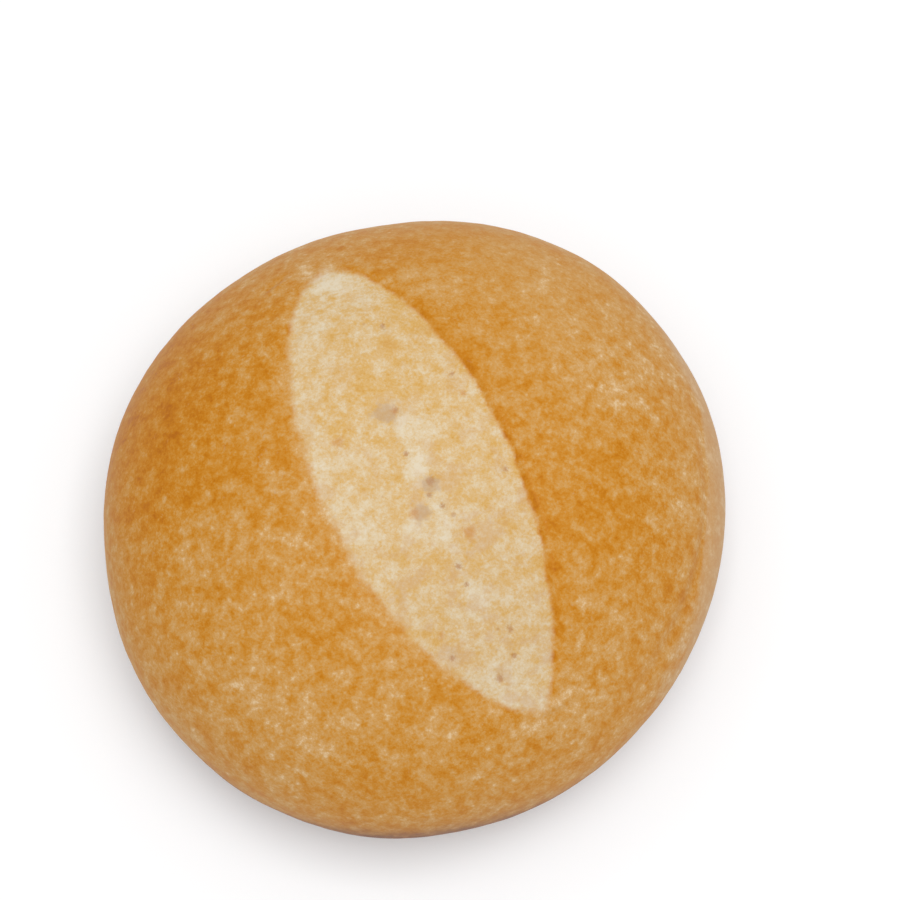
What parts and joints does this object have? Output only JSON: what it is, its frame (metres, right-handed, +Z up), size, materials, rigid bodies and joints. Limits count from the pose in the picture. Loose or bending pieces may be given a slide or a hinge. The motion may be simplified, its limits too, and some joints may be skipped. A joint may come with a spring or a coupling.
{
  "type": "bread roll",
  "caption": "Round crusty wheat bread roll with a domed crown, a pale lens-shaped slash across the top and a flat sole.",
  "frame": {"origin": "middle of the flat sole, on the surface that the roll stands on", "axes": "+Z up from the sole to the crown, +X to the right and +Y away from the viewer when the slash runs from upper left to lower right"},
  "size_m": [0.0998, 0.1001, 0.0544],
  "materials": {
    "crust": null
  },
  "bodies": {
    "root": {"bread_roll": "crust"}
  },
  "joints": []
}
